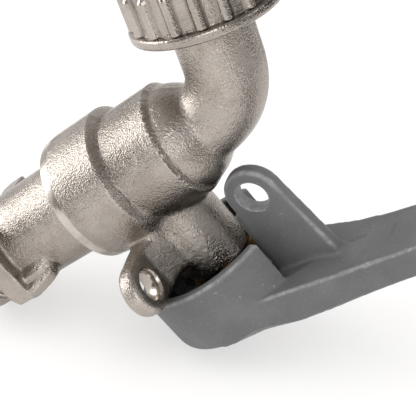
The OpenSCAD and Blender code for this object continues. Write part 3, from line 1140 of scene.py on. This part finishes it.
@dataclass
class InletEnd:
    """The screwed end piece: inlet thread, spanner block, fin, tube and turned ring."""

    sizes: TapSizes = SIZES
    voxel: float = 0.3
    thread_r: float = 10.48
    thread_len: float = 13.0
    pitch: float = 1.814
    thread_depth: float = 1.162
    block_af: float = 26.4
    block_w: float = 17.2
    block_t: float = 4.9
    block_turn: float = -1.0
    tube_r: float = 10.3
    fin_t: float = 3.0
    fin_r: float = 15.0
    fin_len: float = 7.1
    bore_r: float = 6.5
    ring_r: float = 13.8
    ring_w: float = 2.2
    spigot_r: float = 11.55
    spigot_end: float = 30.9
    mouth_r: float = 9.3
    mouth_start: float = 27.6

    def spanner_block(self) -> Form:
        """The block with two spanner flats, its corners chamfered towards the thread.

        Returns:
            A closed form.
        """
        prism = block((-0.4, -self.block_af / 2, -self.block_w / 2),
                      (self.block_t + 0.4, self.block_af, self.block_w), turn_about("X", self.block_turn))
        across = math.hypot(self.block_af, self.block_w) / 2
        dish = [(-1.0, 0.0), (-1.0, across - 2.0), (1.2, across), (self.block_t + 1, across),
                (self.block_t + 1, 0.0)]
        return cut(prism, [turned(dish, self.sizes.lay(Lay.PIPE))], "INTERSECT")

    def fin(self) -> List[Form]:
        """The fin that stiffens one corner of the spanner block, with its wider foot.

        Returns:
            Closed forms that overlap.
        """
        low = self.tube_r - 2
        end = self.block_t + self.fin_len
        side = [(self.block_t - 1.5, low), (self.block_t - 1.5, self.fin_r), (self.block_t + 1, self.fin_r),
                (end - 1.7, self.fin_r - 1.6), (end - 0.6, self.fin_r - 2.4), (end, self.fin_r - 3.6),
                (end, low)]
        corner = math.degrees(math.atan(self.block_w / self.block_af))
        turn = turn_about("X", self.block_turn + corner - 90) @ turn_about("X")
        foot = [(self.block_t - 1.5, low), (self.block_t - 1.5, self.tube_r + 2.6),
                (end - 2.4, self.tube_r + 2.0), (end + 0.6, self.tube_r - 0.4), (end + 0.6, low)]
        return [slab(side, -self.fin_t / 2, self.fin_t / 2, turn, 0.5),
                slab(foot, -self.fin_t, self.fin_t, turn, 1.3)]

    def casting(self) -> Form:
        """The cast part, from the spanner block to the turned ring.

        Returns:
            The bored form.
        """
        pipe = self.sizes.lay(Lay.PIPE)
        ring = self.sizes.joint_x - self.ring_w
        flare = [(18.0, 0.0), (18.0, self.tube_r - 0.3), (ring - 0.8, self.tube_r - 0.1),
                 (ring + 0.2, self.tube_r + 0.5), (ring + 0.2, 0.0)]
        shells = [self.spanner_block(), rod(self.tube_r, 0.5, ring + 1, pipe), turned(flare, pipe)]
        shells += self.fin()
        form = skinned(shells, self.voxel, 5, [(12, self.near_tube)])
        return cut(form, [rod(20.0, -5.0, 0.0, pipe), rod(self.bore_r, -2.0, 40.0, pipe, 64),
                          rod(20.0, ring + 0.3, 40.0, pipe)])

    def near_tube(self, spot: Vector) -> float:
        """How deep a point is in the corner between the tube and the fin."""
        return min(ramp(math.hypot(spot.y, spot.z), 11.2, 13.4), ramp(spot.x, 6.6, 5.4),
                   ramp(spot.x, 13.0, 16.0))

    def thread(self) -> Form:
        """The inlet thread as a real screw: one section swept round with a rise of one pitch.

        Returns:
            A closed form, bored through.
        """
        form = Form()
        points = []
        parts = 10
        for step in range(11 * parts + 1):
            share = step / parts
            wave = math.cos(TURN * share)
            wave = math.copysign(abs(wave) ** 0.75, wave)
            radius = self.thread_r - self.thread_depth / 2 * (1 - wave)
            height = share * self.pitch - self.thread_len - 2 * self.pitch
            points.append(form.bm.verts.new((radius, 0, height)))
        edges = [form.bm.edges.new(pair) for pair in zip(points, points[1:])]
        steps = 96
        bmesh.ops.spin(form.bm, geom=points + edges, cent=(0, 0, 0), axis=(0, 0, 1),
                       dvec=(0, 0, self.pitch / steps), angle=TURN, steps=steps, use_merge=False,
                       use_normal_flip=False, use_duplicate=False)
        bmesh.ops.remove_doubles(form.bm, verts=form.bm.verts, dist=1e-3)
        for level, side in ((-self.thread_len, -1), (0.15, 1)):
            self.close_end(form, level, side)
        for vert in form.bm.verts:
            limit = self.thread_r - max(0.0, 1.3 - (vert.co.z + self.thread_len))
            limit = min(limit, self.thread_r - max(0.0, 1.4 + vert.co.z) * 0.8)
            reach = vert.co.xy.length
            if reach > limit:
                vert.co.xy *= limit / reach
        pipe = self.sizes.lay(Lay.PIPE)
        return cut(form.tidy().place(pipe), [rod(self.bore_r, -20.0, 5.0, pipe, 64)])

    def close_end(self, form: Form, level: float, side: int) -> None:
        """Cuts the thread off at a level and closes the cut.

        Args:
            form: the thread, which is changed.
            level: the height of the cut.
            side: 1 to lose what is above it, -1 to lose what is below.
        """
        whole = list(form.bm.verts) + list(form.bm.edges) + list(form.bm.faces)
        bmesh.ops.bisect_plane(form.bm, geom=whole, plane_co=(0, 0, level), plane_no=(0, 0, side),
                               clear_outer=True, clear_inner=False)
        rim = [edge for edge in form.bm.edges
               if edge.is_boundary and all(abs(vert.co.z - level) < 1e-3 for vert in edge.verts)]
        bmesh.ops.edgeloop_fill(form.bm, edges=rim)

    def ring(self) -> Form:
        """The turned ring against the body, with the spigot behind it.

        Returns:
            A closed form.
        """
        start = self.sizes.joint_x - self.ring_w
        end = self.sizes.joint_x - 0.06
        outline = [(start, self.bore_r), (start, self.ring_r, 0.35), (end, self.ring_r, 0.14),
                   (end, self.spigot_r), (self.spigot_end, self.spigot_r, 0.3),
                   (self.spigot_end, self.mouth_r), (self.mouth_start, self.mouth_r),
                   (self.mouth_start, self.bore_r)]
        return turned(rounded(outline), self.sizes.lay(Lay.PIPE), 160)

    def build(self) -> List[bpy.types.Object]:
        """Makes the three pieces that stand for the end piece.

        Returns:
            The finished pieces.
        """
        places = ("tap_body", "inlet_end", "nickel_casting")
        return [dressed(self.casting(), "inlet_casting", CAST_NICKEL, places, (4, 9.0)),
                dressed(self.thread(), "inlet_thread_skin", PLATED_NICKEL, places),
                dressed(self.ring(), "inlet_ring", RING_NICKEL, places)]


@dataclass
class Handle:
    """The coated handle: cup, lever arm and eye plate."""

    sizes: TapSizes = SIZES
    voxel: float = 0.36
    cup_r: float = 17.9
    cup_in: float = 15.3
    rim_z: float = 22.6
    roof_z: float = 32.4
    top_z: float = 37.3
    boss_z: float = 31.0
    recess_z: float = 34.2
    recess_r: float = 6.8
    lever_len: float = 76.0
    grip: float = 6.9
    gap_half: float = 25.0
    far_rim: float = 27.2
    plate_t: float = 3.2
    plate_r: float = 6.0
    square: float = 5.7
    hub_r: float = 7.0
    far_half: float = 27.5
    far_turn: float = -52.5
    stop_turns: Tuple[float, float] = (199.5, 70.5)
    scratches: Tuple[Corners, ...] = (((27.0, -1.7), (30.4, -2.2)), ((37.1, 0.3), (37.3, -2.5)),
                                      ((24.4, -2.0), (24.5, -2.0)), ((26.3, -0.5), (26.4, -0.5)))
    scratch_deep: float = 0.3
    scratch_wide: float = 0.34

    @property
    def lay(self) -> Matrix:
        """Lays a shape along the handle as it is turned at rest."""
        return self.sizes.lay(Lay.HANDLE)

    @property
    def upright(self) -> Matrix:
        """Lays a side view, drawn in (along, up), in the handle's middle plane."""
        return self.lay @ turn_about("X")

    @property
    def grip_x(self) -> float:
        """Where the rounded tip of the grip has its centre."""
        return self.lever_len - self.grip

    def sector(self, half: float, radius: float, low: float, high: float, middle: float = 0.0) -> Form:
        """A wedge of a disc about the stem.

        Args:
            half: half its angle in degrees.
            radius: its radius.
            low: height of its lower face.
            high: height of its upper face.
            middle: where its middle points, in degrees from the arm.

        Returns:
            A closed form.
        """
        angles = [math.radians(middle - half + 2 * half * step / 12) for step in range(13)]
        rim = [(radius * math.cos(angle), radius * math.sin(angle)) for angle in angles]
        return slab([(0.0, 0.0)] + rim, low, high, self.lay)

    def cup(self) -> Form:
        """The cup over the gland, open towards the eye plate.

        Returns:
            A closed form.
        """
        outline = [(self.rim_z, self.cup_in, 0.3), (self.rim_z, self.cup_r, 0.5),
                   (self.top_z, self.cup_r, 3.2), (self.top_z, 0.0), (self.roof_z, 0.0),
                   (self.roof_z, self.cup_in, 0.4)]
        form = turned(rounded(outline, 7), self.lay, 160)
        gap = self.sector(self.gap_half, 24.0, self.rim_z - 1, self.roof_z - 2)
        throat = cut(self.hollow(), [self.sector(self.gap_half, 26.0, 20.0, 36.0)], "INTERSECT")
        far = self.sector(self.far_half, 24.0, self.rim_z - 1, self.far_rim, self.far_turn)
        return cut(form, [gap, throat, far])

    def hollow(self) -> Form:
        """The roof-shaped hollow under the arm, from the cup's opening to the end of the eye plate.

        Returns:
            A closed form to cut with.
        """
        form = Form()
        ends = []
        for along, wide, foot in ((9.5, 15.2, 30.3), (22.5, 9.6, 34.4)):
            section = [(-wide, 20.0), (wide, 20.0), (wide, foot), (1.6, 34.2), (-1.6, 34.2), (-wide, foot)]
            ends.append([form.bm.verts.new((along, across, up)) for across, up in section])
            form.bm.faces.new(ends[-1])
        near, away = ends
        for one, two, three, four in zip(near, near[1:] + near[:1], away[1:] + away[:1], away):
            form.bm.faces.new((one, two, three, four))
        return form.tidy().place(self.lay)

    def near_edge(self) -> Outline:
        """The arm's edge on the side of the lug, as (along, across)."""
        return smooth_line([(0.0, 16.9), (6.0, 16.6), (10.0, 14.9), (15.0, 12.6), (20.0, 10.2), (26.0, 8.2),
                            (34.0, 7.2), (44.0, self.grip), (self.grip_x, self.grip)])

    def far_edge(self) -> Outline:
        """The arm's other edge, which is straighter, as (along, across)."""
        return smooth_line([(0.0, 16.9), (6.0, 16.2), (10.0, 14.4), (14.0, 11.6), (18.0, 9.7), (24.8, 9.0),
                            (32.0, 8.2), (38.0, 7.6), (46.0, 7.1), (self.grip_x, self.grip)])

    def crest(self) -> Outline:
        """The top of the arm, as (along, up)."""
        return smooth_line([(0.0, self.top_z), (5.0, 37.4), (12.0, 39.1), (18.0, 41.0), (26.0, 42.4),
                            (44.0, 42.5), (60.0, 42.5), (self.lever_len + 2, 42.6)])

    def plan(self) -> Outline:
        """The arm as it looks from above.

        Returns:
            Points of (along, across).
        """
        angles = [math.pi * step / 16 for step in range(1, 16)]
        tip = [(self.grip_x + self.grip * math.sin(angle), self.grip * math.cos(angle)) for angle in angles]
        return self.near_edge() + tip + [(along, -across) for along, across in reversed(self.far_edge())]

    def profile(self) -> Outline:
        """The arm as it looks from its side, from its underside round to its top.

        Returns:
            Points of (along, up).
        """
        under = smooth_line([(0.0, self.roof_z), (8.0, 30.4), (11.0, 30.7), (14.6, 31.9), (18.1, 33.1),
                             (21.7, 34.2), (25.5, 35.1), (30.0, 35.5), (36.0, 35.85), (44.0, 36.0),
                             (60.0, 36.3), (self.lever_len + 2, 36.9)])
        return under + self.crest()[::-1]

    def arm(self) -> Form:
        """The lever arm, cut from its plan by its side view, with its hollow.

        Returns:
            A closed form.
        """
        form = slab(self.plan(), 28.0, 46.0, self.lay)
        form = cut(form, [slab(self.profile(), -30.0, 30.0, self.upright)], "INTERSECT")
        return cut(form, [rod(self.cup_in, self.rim_z, self.roof_z, self.lay), self.hollow()])

    def eye(self) -> List[Form]:
        """The eye plate that takes the padlock's other leg, and its web to the cup.

        Returns:
            Closed forms that overlap.
        """
        eye_x, eye_z = self.sizes.eye_reach, self.sizes.eye_z
        edge = eye_x + self.plate_r
        angles = [-math.pi * step / 24 for step in range(1, 24)]
        outline = [(edge + 2.4, 36.0), (edge + 2.2, 35.0), (edge, eye_z)]
        outline += [(eye_x + self.plate_r * math.cos(angle), eye_z + self.plate_r * math.sin(angle))
                    for angle in angles]
        outline += [(eye_x - self.plate_r, eye_z), (11.5, 26.0), (11.4, 36.0)]
        plate = slab(outline, -self.plate_t / 2, self.plate_t / 2, self.upright, 0.55)
        return [plate, block((10.6, -1.1, eye_z + 2.6), (3.0, 2.2, self.roof_z - eye_z), self.lay)]

    def stops(self) -> List[Form]:
        """The two ribs in the cup that end its travel.

        Returns:
            A closed form for each rib.
        """
        low = self.rim_z + 2.2
        return [cut(self.sector(8.0, self.cup_in + 0.5, low, self.roof_z + 0.5, middle),
                    [rod(10.6, self.rim_z - 1, self.roof_z + 2, self.lay)]) for middle in self.stop_turns]

    def round_top(self, form: Form) -> None:
        """Rounds the arm's upper edges by lowering its points near the rim of the plan.

        Args:
            form: the handle's skin, which is changed.
        """
        ahead, back = self.lay, self.lay.inverted()
        near, far, over = (np.array(line).T for line in (self.near_edge(), self.far_edge(), self.crest()))
        for vert in form.bm.verts:
            spot = back @ vert.co
            if spot.x < 2 or spot.z < 34:
                continue
            if spot.x > self.grip_x:
                inset = self.grip - math.hypot(spot.x - self.grip_x, spot.y)
            else:
                inset = min(float(np.interp(spot.x, *near)) - spot.y, float(np.interp(spot.x, *far)) + spot.y)
            bend = (3.2 - 2.2 * ramp(spot.x, 16.0, 6.0)) * ramp(spot.x, 9.0, 2.0)
            if inset < bend and bend > 0.1:
                inset = max(inset, 0.0)
                drop = bend - math.sqrt(max(bend * bend - (bend - inset) ** 2, 0.0))
                roof = float(np.interp(spot.x, *over)) - drop
                if spot.z > roof:
                    spot.z = roof
                    vert.co = ahead @ spot

    def dents(self, form: Form) -> None:
        """Presses a few small scratches and pits into the arm's underside.

        Args:
            form: the handle's skin, which is changed.
        """
        ahead, back = self.lay, self.lay.inverted()
        for vert in form.bm.verts:
            spot = back @ vert.co
            if spot.z > 36.6 or not 23 < spot.x < 39:
                continue
            for start, end in self.scratches:
                away = Vector(end) - Vector(start)
                share = min(1.0, max(0.0, (spot.xy - Vector(start)).dot(away) / away.length_squared))
                gap = (spot.xy - Vector(start) - away * share).length
                spot.z += self.scratch_deep * math.exp(-(gap / self.scratch_wide) ** 2)
            vert.co = ahead @ spot

    def holes(self) -> List[Form]:
        """The eye with its flared mouths, the nut's recess and the stem's square hole.

        Returns:
            Closed forms to cut with.
        """
        eye = self.lay @ Matrix.Translation((self.sizes.eye_reach, 0, self.sizes.eye_z)) @ turn_about("X")
        bore, flare = self.sizes.eye_r + 0.05, self.sizes.eye_r + 1.7
        mouth = [(-3.0, 0.0), (-3.0, flare), (-1.4, bore), (1.4, bore), (3.0, flare), (3.0, 0.0)]
        recess = [(self.recess_z, 0.0), (self.recess_z, self.recess_r - 0.2),
                  (self.recess_z + 0.4, self.recess_r), (self.top_z - 0.2, self.recess_r),
                  (self.top_z + 1.2, self.recess_r + 1.3), (45.0, 8.1), (45.0, 0.0)]
        square = block((-self.square / 2, -self.square / 2, self.boss_z - 1), (self.square, self.square, 8.0),
                       self.lay)
        return [turned(mouth, eye, 64), turned(recess, self.lay, 96), square]

    def build(self) -> bpy.types.Object:
        """Casts the handle, cuts its holes and coats it.

        Returns:
            The finished piece.
        """
        hub = rod(self.hub_r, self.boss_z, self.roof_z + 1, self.lay)
        form = skinned([self.cup(), self.arm(), hub] + self.eye() + self.stops(), self.voxel, 2)
        self.round_top(form)
        eased(form.bm, form.bm.verts, 3)
        self.dents(form)
        form = cut(form, self.holes())
        return dressed(form, "handle_skin", HANDLE_COAT, ("handle", "lever", "grey_coat"), (3, 9.0))


@dataclass
class UnionNut:
    """The ribbed nut that holds the hose tail."""

    sizes: TapSizes = SIZES
    length: float = 17.0
    rim_r: float = 14.6
    rim_w: float = 2.0
    body_r: float = 13.2
    rib_r: float = 1.0
    rib_len: float = 7.4
    ribs: int = 18
    bore_r: float = 10.56
    lip_r: float = 7.7
    lip_z: float = 23.57

    @property
    def foot(self) -> float:
        """Where the rim ends and the flank with the ribs starts."""
        return self.sizes.nut_start + self.rim_w

    def build(self) -> bpy.types.Object:
        """Turns the nut and raises its ribs out of the turned skin.

        Returns:
            The finished piece.
        """
        start = self.sizes.nut_start
        end = start + self.length
        steps = 26
        flank = [(self.foot + 0.1 + (self.rib_len + 1.6) * step / steps, self.body_r)
                 for step in range(1, steps)]
        outline = [(start, self.bore_r, 0.3), (start, self.rim_r, 0.7), (self.foot, self.rim_r, 0.6),
                   (self.foot + 0.1, self.body_r, 0.25)] + flank
        outline += [(end - 1.2, self.body_r, 0.5), (end, self.body_r - 1.2, 0.3), (end, self.lip_r, 0.3),
                    (self.lip_z, self.lip_r), (self.lip_z, self.bore_r)]
        form = turned(rounded(outline, 4), Matrix.Identity(4), self.ribs * 16)
        self.raise_ribs(form)
        eased(form.bm, form.bm.verts, 1, 0.3)
        form.place(self.sizes.lay(Lay.OUTLET))
        # a high gain, so that the painted shade between the ribs is deep
        return dressed(form, "union_nut_skin", NUT_NICKEL, ("hose_nut", "union_nut", "nickel_nut"), (1, 6.0))

    def raise_ribs(self, form: Form) -> None:
        """Pushes the flank out where a rib runs, with a rounded end away from the rim.

        Args:
            form: the turned nut before it is laid on the spout, which is changed.
        """
        wide = self.rib_r * 1.12
        for vert in form.bm.verts:
            reach = vert.co.xy.length
            past = vert.co.z - self.foot
            if abs(reach - self.body_r) > 0.02 or past > self.rib_len + 1.5 or past < 0:
                continue
            angle = math.atan2(vert.co.y, vert.co.x) * self.ribs / TURN
            across = abs(angle - round(angle)) * TURN / self.ribs * self.body_r
            away = math.hypot(across, max(0.0, past - (self.rib_len - self.rib_r)))
            if away < wide:
                lift = 1.05 * self.rib_r * math.sqrt(max(0.0, 1 - (away / wide) ** 2))
                vert.co.xy *= (reach + lift) / reach


@dataclass
class HoseTail:
    """The barbed tail for the hose."""

    sizes: TapSizes = SIZES
    flange_start: float = 20.95
    flange_r: float = 10.3
    flange_t: float = 2.5
    neck_len: float = 6.0
    stem_r: float = 7.3
    barb_r: float = 7.0
    bore_r: float = 4.6
    end: float = 48.95
    barbs: int = 4

    def build(self) -> bpy.types.Object:
        """Turns the tail from one section, with each barb's edge eased.

        Returns:
            The finished piece.
        """
        top = self.flange_start + self.flange_t
        first = self.flange_start + self.neck_len
        pitch = (self.end - first) / self.barbs
        outline = [(self.flange_start, self.bore_r, 0.2), (self.flange_start, self.flange_r, 0.3),
                   (top, self.flange_r, 0.2), (top, self.stem_r, 0.4), (first - 0.4, self.stem_r, 0.5)]
        for index in range(self.barbs):
            start = first + index * pitch
            outline += [(start + 0.2, self.barb_r - 0.02, 0.18),
                        (start + pitch - 0.3, self.barb_r - 1.15, 0.3)]
        outline += [(self.end, self.barb_r - 1.3, 0.4), (self.end, self.bore_r, 0.4)]
        form = turned(rounded(outline, 4), self.sizes.lay(Lay.OUTLET))
        places = ("tap_body", "hose_tail", "nickel_nut")
        return dressed(form, "hose_tail_skin", PLATED_NICKEL, places, (1, 3.0))


class InnerParts:
    """The nodes that keep their CAD shape and get a finish."""

    finishes: Dict[Finish, Tuple[str, ...]] = {
        SHADED_BRASS: ("gland_nut",),
        BRASS: ("stem", "gland_follower"),
        CHROME: ("ball",),
        STEEL: ("lever_nut", "lock_washer"),
        PTFE: ("end_gasket", "inlet_seat", "outlet_seat", "thrust_washer", "packing_lower", "packing_upper"),
        RUBBER: ("inlet_seat_ring", "outlet_seat_ring", "outlet_washer"),
    }

    def dress(self, nodes: Dict[str, bpy.types.Object]) -> None:
        """Gives each node its finish.

        Args:
            nodes: the CAD nodes by name.
        """
        for finish, names in self.finishes.items():
            for name in names:
                finish.on(nodes[name])


# Studio


@dataclass
class Studio:
    """A pale table that the tap lies on upside down, soft lamps and the camera."""

    up: Tuple[float, float, float] = (0.62, 0.0, -0.785)
    middle: Tuple[float, float, float] = (45.0, 0.0, 0.0)
    camera_spot: Tuple[float, float, float] = (131.51, 157.8, -49.61)
    camera_turn: Tuple[float, float, float] = (-2.015647, -0.660997, -0.226595)
    lens: float = 81.75
    lamp_away: float = 640.0
    card_away: float = 700.0
    table_half: float = 1500.0
    table_gap: float = 0.3

    @property
    def upright(self) -> Vector:
        """What is upwards in the photograph, as a unit vector."""
        return Vector(self.up).normalized()

    def camera(self) -> None:
        """Sets the camera where the photograph was taken from."""
        data = bpy.data.cameras.new("camera")
        data.lens = self.lens
        data.sensor_width = 36.0
        data.clip_start = 0.005
        made = bpy.data.objects.new("camera", data)
        made.location = Vector(self.camera_spot) * MM
        made.rotation_euler = self.camera_turn
        bpy.context.scene.collection.objects.link(made)
        bpy.context.scene.camera = made

    def floor(self) -> None:
        """Lays the table just below the lowest points of the tap as it lies."""
        graph = bpy.context.evaluated_depsgraph_get()
        heights = [column(piece.evaluated_get(graph).data.vertices, "co", 3) @ np.array(self.upright)
                   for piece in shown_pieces()]
        lowest = METRE * min(float(some.min()) for some in heights)
        LOG.info("table at %.2f mm", lowest)
        form = Form()
        bmesh.ops.create_grid(form.bm, x_segments=1, y_segments=1, size=self.table_half)
        turn = Vector((0, 0, 1)).rotation_difference(self.upright).to_matrix().to_4x4()
        spot = Matrix.Translation(self.upright * (lowest - self.table_gap))
        table = form.place(spot @ turn).piece("table")
        made, net = new_material("white_table")
        grey = net.node("ShaderNodeBsdfDiffuse", {}, {"Color": (0.93, 0.915, 0.905), "Roughness": 0.0})
        white = net.node("ShaderNodeEmission", {}, {"Color": (1.0, 1.0, 1.0), "Strength": 1.2})
        path = net.node("ShaderNodeLightPath", output="Is Camera Ray")
        glow = net.node("ShaderNodeMixShader", {}, {0: path * 0.4, 1: grey, 2: white})
        clear = net.node("ShaderNodeBsdfTransparent")
        behind = net.node("ShaderNodeNewGeometry", output="Backfacing")
        both = net.node("ShaderNodeMixShader", {}, {0: behind, 1: glow, 2: clear})
        net.node("ShaderNodeOutputMaterial", {}, {"Surface": both})
        table.data.materials.append(made)
        table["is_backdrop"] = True

    def world(self) -> None:
        """A white surround that the camera and mirrors see, and an even light for the rest."""
        world = bpy.data.worlds.new("surround")
        bpy.context.scene.world = world
        world.use_nodes = True
        net = Net(world.node_tree)
        path = net.node("ShaderNodeLightPath", output="Is Camera Ray")
        glossy = Wire(net, path.socket.node.outputs["Is Glossy Ray"])
        through = Wire(net, path.socket.node.outputs["Is Transmission Ray"])
        strength = 0.88 + (path + glossy + through).kept() * 0.12
        light = net.node("ShaderNodeBackground", {}, {"Color": (1.0, 1.0, 1.0), "Strength": strength})
        net.node("ShaderNodeOutputWorld", {}, {"Surface": light})

    def lamp(self, name: str, azimuth: float, height: float, size: float, power: float,
             mirrored: bool = True) -> None:
        """Adds a soft lamp that points at the tap.

        Args:
            name: the lamp's name.
            azimuth: where it stands round the upright, in degrees.
            height: how high it stands, in degrees.
            size: the side of its square, in millimetres.
            power: its power in watts.
            mirrored: whether the metal mirrors it.
        """
        data = bpy.data.lights.new(name, "AREA")
        data.size = size * MM
        data.energy = power
        made = bpy.data.objects.new(name, data)
        place = self.toward(azimuth, height) * self.lamp_away
        made.location = (place + Vector(self.middle)) * MM
        made.rotation_euler = (-place).to_track_quat("-Z", "Y").to_euler()
        made.visible_glossy = mirrored
        bpy.context.scene.collection.objects.link(made)

    def toward(self, azimuth: float, height: float) -> Vector:
        """A direction in the studio.

        Args:
            azimuth: degrees round the upright, 0 towards the camera and growing to the photograph's left.
            height: degrees above the table.

        Returns:
            The direction as a unit vector in the part's frame.
        """
        front = (Vector(self.camera_spot) - Vector(self.middle)).normalized()
        front = (front - self.upright * front.dot(self.upright)).normalized()
        turn, rise = math.radians(azimuth), math.radians(height)
        flat = front * math.cos(turn) + front.cross(self.upright) * math.sin(turn)
        return flat * math.cos(rise) + self.upright * math.sin(rise)

    def card(self, name: str, azimuth: float, height: float, width: float, rise: float, tone: float) -> None:
        """Stands a grey card in the studio, which only mirrors see.

        Args:
            name: the card's name.
            azimuth: where it stands round the upright, in degrees.
            height: how high it stands, in degrees.
            width: its width in degrees.
            rise: its height in degrees.
            tone: how bright it is.
        """
        form = Form()
        bmesh.ops.create_grid(form.bm, x_segments=1, y_segments=1, size=0.5)
        place = self.toward(azimuth, height)
        level = abs(place.dot(self.upright)) < 0.98
        side = self.upright.cross(place).normalized() if level else self.toward(90, 0)
        turn = Matrix((side, place.cross(side), place)).transposed().to_4x4()
        sides = [2 * self.card_away * math.tan(math.radians(angle / 2)) for angle in (width, rise)]
        spot = Matrix.Translation(place * self.card_away + Vector(self.middle))
        card = form.place(spot @ turn @ Matrix.Diagonal((*sides, 1, 1))).piece(name)
        made, net = new_material(name)
        shade = net.node("ShaderNodeEmission", {}, {"Color": (1.0, 0.98, 0.96), "Strength": tone})
        net.node("ShaderNodeOutputMaterial", {}, {"Surface": shade})
        card.data.materials.append(made)
        card.visible_camera = False
        card.visible_diffuse = False
        card.visible_shadow = False
        card.visible_transmission = False
        card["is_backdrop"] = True

    def build(self) -> None:
        """Sets up the table, surround, lamps, cards and camera."""
        self.camera()
        self.floor()
        self.world()
        self.lamp("key", 10, 22, 300.0, 0.62)
        self.lamp("side", 99, 12, 380.0, 1.55)
        self.lamp("right", -62, 30, 260.0, 0.30)
        self.lamp("top", -20, 70, 400.0, 0.60, mirrored=False)
        for azimuth, width, tone in ((50, 34, 0.12), (-30, 32, 0.30), (-64, 36, 0.26), (-99, 34, 0.10),
                                     (-140, 48, 0.70), (173, 46, 0.75), (137, 30, 0.65)):
            self.card(f"card_low_{azimuth % 360}", azimuth, 6, width, 56, tone)
        for azimuth, tone in ((0, 0.42), (60, 0.50), (120, 0.60), (180, 0.45), (-120, 0.20), (-50, 0.14)):
            self.card(f"card_high_{azimuth % 360}", azimuth, 51, 42, 36, tone)
        self.card("card_ceiling", 0, 88, 46, 46, 0.42)
        bpy.context.scene.view_settings.view_transform = "Standard"


def main() -> None:
    """Builds every sub-assembly in order and reports each."""
    logging.basicConfig(level=logging.INFO, format="%(name)s: %(message)s")
    InnerParts().dress(frame["nodes"])
    LOG.info("inner parts have their finishes")
    for maker in (BodyCasting(), InletEnd(), Handle(), UnionNut(), HoseTail()):
        made = maker.build()
        for piece in made if isinstance(made, list) else [made]:
            LOG.info("%s has %d faces", piece.name, len(piece.data.polygons))
    Studio().build()


if __name__ == "__main__":
    main()
